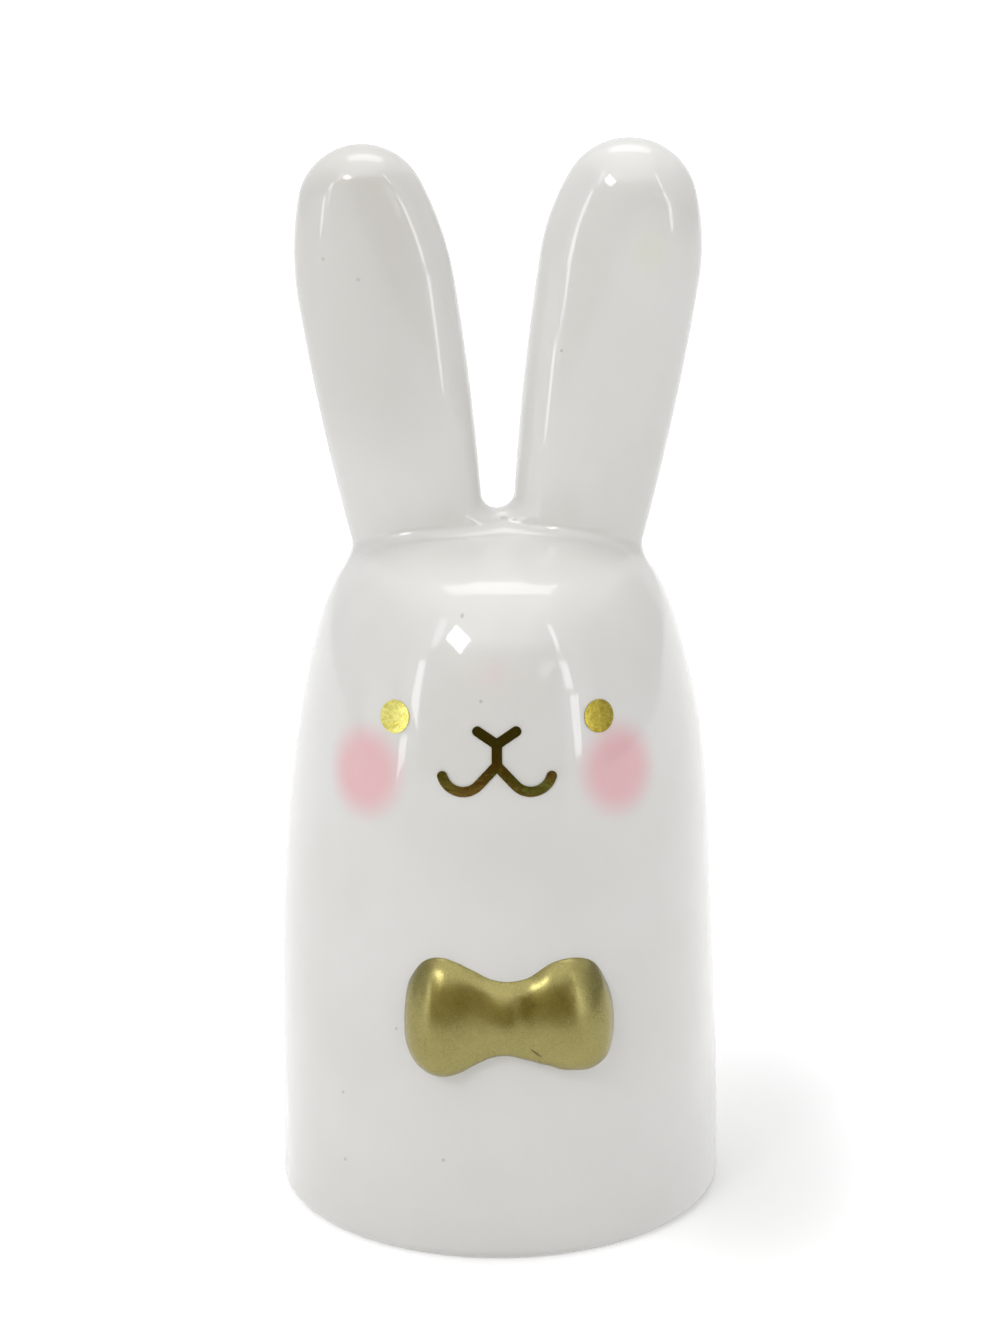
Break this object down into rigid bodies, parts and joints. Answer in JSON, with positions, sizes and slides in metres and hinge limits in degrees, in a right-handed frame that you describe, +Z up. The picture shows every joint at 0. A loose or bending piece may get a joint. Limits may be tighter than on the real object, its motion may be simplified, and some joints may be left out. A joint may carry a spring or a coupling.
{
  "type": "ceramic rabbit figurine",
  "caption": "Small glazed ceramic rabbit ornament with a bell-shaped hollow body, two long upright ears, a gold bow tie in relief and a foil face. Stands on a foot ring.",
  "frame": {"origin": "centre of the foot ring, on the surface that the figurine stands on", "axes": "+Z up, the face and bow tie look along -Y, +X to the right as seen from the front"},
  "size_m": [0.0498, 0.0519, 0.1197],
  "materials": {
    "white_glaze": "clear gloss glaze over white earthenware",
    "gold_lustre": "satin gold lustre paint over glaze",
    "gold_foil": "bright crinkled gold foil",
    "bronze_foil": "dark mirror-bright bronze foil"
  },
  "bodies": {
    "root": {"body_shell": "white_glaze", "left_ear": "white_glaze", "right_ear": "white_glaze", "bow_tie": "gold_lustre", "left_eye": "gold_foil", "right_eye": "gold_foil", "nose_mouth": "bronze_foil"}
  },
  "joints": []
}
